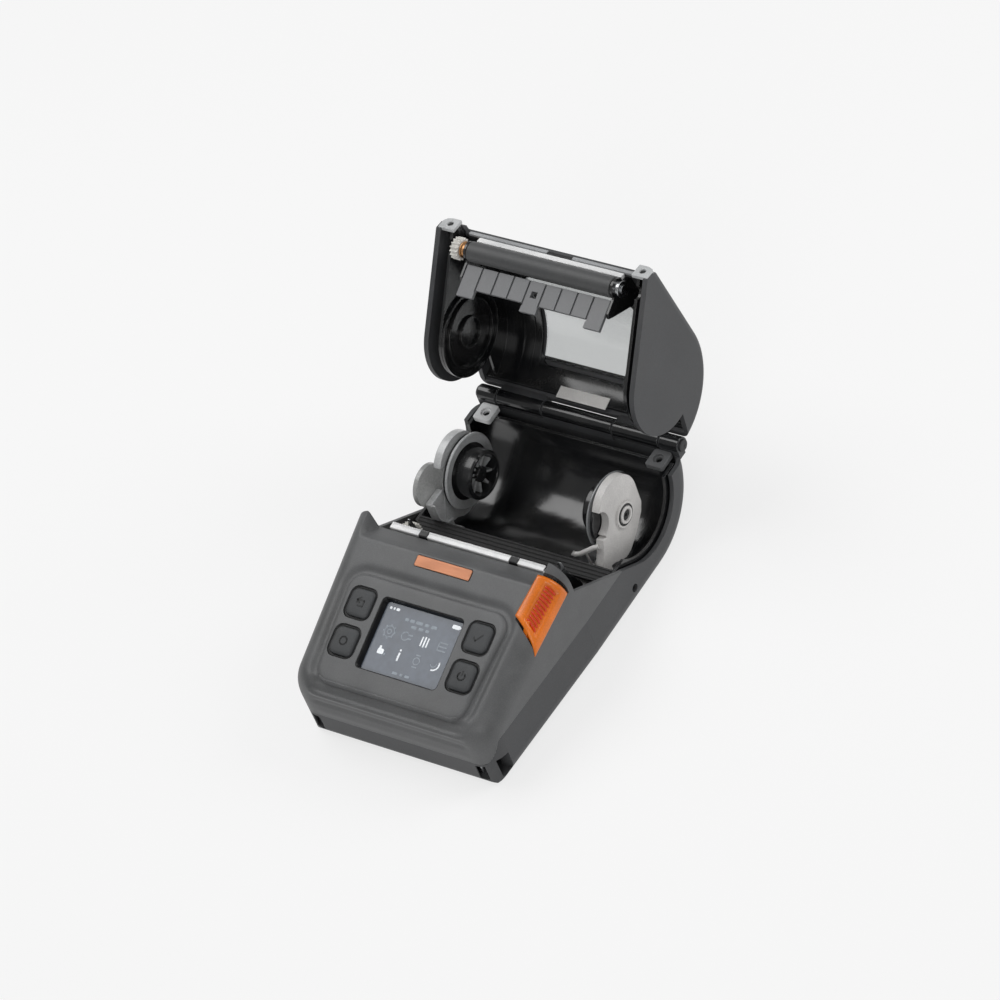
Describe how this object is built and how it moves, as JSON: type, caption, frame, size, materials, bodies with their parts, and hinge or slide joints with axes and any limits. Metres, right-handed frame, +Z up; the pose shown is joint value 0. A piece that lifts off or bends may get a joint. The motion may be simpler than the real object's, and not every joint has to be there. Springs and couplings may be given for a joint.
{
  "type": "portable barcode printer",
  "caption": "Hand-held label printer with an open clamshell lid, roll bay with self-centring discs, platen in the lid, colour panel and battery bay.",
  "frame": {"origin": "on the base plane at mid-width, 92.5 mm behind the front end, which is the middle of the closed footprint to within 2 mm", "axes": "+X to the user's right facing the control panel, +Y from the control panel to the hinge, +Z up"},
  "size_m": [0.1187, 0.2121, 0.1353],
  "materials": {
    "shell_grey": "fine grained",
    "cover_grey": "fine grained",
    "gloss_black": "polished",
    "soft_black": "matte",
    "key_grey": "matte",
    "display": "glossy",
    "module_grey": "matte",
    "copper_foil": "satin",
    "orange": "satin",
    "spring_steel": "bright",
    "steel": "brushed",
    "bright_strip": "bright",
    "aluminium": "satin",
    "ivory": "satin",
    "smoke": "clear",
    "gear_white": "satin",
    "board_green": "satin",
    "battery_black": "fine grained",
    "window": "clear",
    "guide_grey": "satin",
    "platen_rubber": "matte",
    "bronze": "satin",
    "label_white": "matte"
  },
  "bodies": {
    "chassis": {"base_housing": "shell_grey", "front_cover": "cover_grey", "control_panel": "cover_grey", "display_lens": "display", "display_module": "module_grey", "keypad_gasket": "soft_black", "name_plate": "copper_foil", "latch_spring": "spring_steel", "tear_bar": "bright_strip", "print_head": "aluminium", "head_bracket": "steel", "head_springs": "spring_steel", "sensor_bar": "gloss_black", "media_liner": "gloss_black", "arm_rail": "steel", "left_rear_bracket": "steel", "right_rear_bracket": "cover_grey", "hinge_pin": "steel", "feed_motor": "steel", "left_side_plate": "steel", "right_side_plate": "steel", "main_board": "board_green", "strap_pins": "steel", "charge_port": "steel", "casing_screws": "steel"},
    "lid": {"lid_shell": "shell_grey", "lid_frame": "gloss_black", "lid_window": "window", "paper_guide": "guide_grey", "lid_strip": "bright_strip", "platen_bushes": "bronze", "lid_label": "label_white"},
    "platen": {"platen_roller": "platen_rubber", "platen_shaft": "steel", "platen_gear": "gear_white"},
    "idler": {"idler_gear": "gear_white"},
    "motor_rotor": {"motor_pinion": "gear_white"},
    "left_arm": {"left_guide_arm": "module_grey", "left_guide_tab": "smoke", "left_rack": "ivory"},
    "left_disc": {"left_roll_disc": "module_grey"},
    "right_arm": {"right_guide_arm": "ivory", "right_rack": "ivory"},
    "right_disc": {"right_roll_disc": "module_grey"},
    "pinion": {"guide_pinion": "ivory"},
    "lever": {"release_lever": "orange"},
    "latch": {"latch_bar": "steel"},
    "back_key": {"button_back": "key_grey"},
    "ring_key": {"button_ring": "key_grey"},
    "accept_key": {"button_accept": "key_grey"},
    "power_key": {"button_power": "key_grey"},
    "battery": {"battery_pack": "battery_black"},
    "battery_catch": {"battery_latch": "module_grey"},
    "port_flap": {"port_cover": "soft_black"}
  },
  "joints": [
    {"name": "lid_hinge", "type": "hinge", "parent": "chassis", "child": "lid", "pos_m": [0, 0.0855, 0.041], "axis": [1, 0, 0], "range_deg": [0, 96]},
    {"name": "platen_spin", "type": "hinge", "parent": "lid", "child": "platen", "pos_m": [0, 0.09921, 0.12744], "axis": [1, 0, 0], "continuous": true},
    {"name": "idler_spin", "type": "hinge", "parent": "chassis", "child": "idler", "pos_m": [-0.04675, 0.0001, 0.0323], "axis": [1, 0, 0], "continuous": true},
    {"name": "motor_spin", "type": "hinge", "parent": "chassis", "child": "motor_rotor", "pos_m": [-0.04675, -0.0059, 0.02231], "axis": [1, 0, 0], "continuous": true},
    {"name": "left_arm_slide", "type": "slide", "parent": "chassis", "child": "left_arm", "axis": [1, 0, 0], "range_m": [0, 0.026]},
    {"name": "right_arm_slide", "type": "slide", "parent": "chassis", "child": "right_arm", "axis": [-1, 0, 0], "range_m": [0, 0.026]},
    {"name": "pinion_spin", "type": "hinge", "parent": "chassis", "child": "pinion", "pos_m": [0, 0.0149, 0.0045], "axis": [0, 0, 1], "range_deg": [0, 298]},
    {"name": "left_disc_spin", "type": "hinge", "parent": "left_arm", "child": "left_disc", "pos_m": [-0.0385, 0.0455, 0.0335], "axis": [1, 0, 0], "continuous": true},
    {"name": "right_disc_spin", "type": "hinge", "parent": "right_arm", "child": "right_disc", "pos_m": [0.0385, 0.0455, 0.0335], "axis": [1, 0, 0], "continuous": true},
    {"name": "lever_lift", "type": "hinge", "parent": "chassis", "child": "lever", "pos_m": [0.0525, -0.0425, 0.0464], "axis": [1, 0, 0], "range_deg": [0, 4], "stiffness_Nm_per_rad": 0.4, "springref_deg": -2.86},
    {"name": "latch_swing", "type": "hinge", "parent": "chassis", "child": "latch", "pos_m": [0, -0.019, 0.035], "axis": [1, 0, 0], "range_deg": [0, 6.1]},
    {"name": "back_key_press", "type": "slide", "parent": "chassis", "child": "back_key", "axis": [0, 0.342, -0.9397], "range_m": [0, 0.0008], "stiffness_N_per_m": 800, "springref_m": -0.0002},
    {"name": "ring_key_press", "type": "slide", "parent": "chassis", "child": "ring_key", "axis": [0, 0.342, -0.9397], "range_m": [0, 0.0008], "stiffness_N_per_m": 800, "springref_m": -0.0002},
    {"name": "accept_key_press", "type": "slide", "parent": "chassis", "child": "accept_key", "axis": [0, 0.342, -0.9397], "range_m": [0, 0.0008], "stiffness_N_per_m": 800, "springref_m": -0.0002},
    {"name": "power_key_press", "type": "slide", "parent": "chassis", "child": "power_key", "axis": [0, 0.342, -0.9397], "range_m": [0, 0.0008], "stiffness_N_per_m": 800, "springref_m": -0.0002},
    {"name": "battery_slide", "type": "slide", "parent": "chassis", "child": "battery", "axis": [0, 0, -1], "range_m": [0, 0.022]},
    {"name": "battery_catch_slide", "type": "slide", "parent": "chassis", "child": "battery_catch", "axis": [0, 1, 0], "range_m": [0, 0.002], "stiffness_N_per_m": 400, "springref_m": -0.0005},
    {"name": "port_flap_hinge", "type": "hinge", "parent": "chassis", "child": "port_flap", "pos_m": [-0.05742, -0.05997, 0.0233], "axis": [-0.0349, 0.9994, 0], "range_deg": [0, 110]}
  ],
  "couplings": [
    {"joint": "right_arm_slide", "follows": "left_arm_slide", "ratio": 1},
    {"joint": "pinion_spin", "follows": "left_arm_slide", "rad_per_m": 200},
    {"joint": "motor_spin", "follows": "idler_spin", "ratio": -2.8},
    {"joint": "latch_swing", "follows": "lever_lift", "ratio": 1.5}
  ]
}
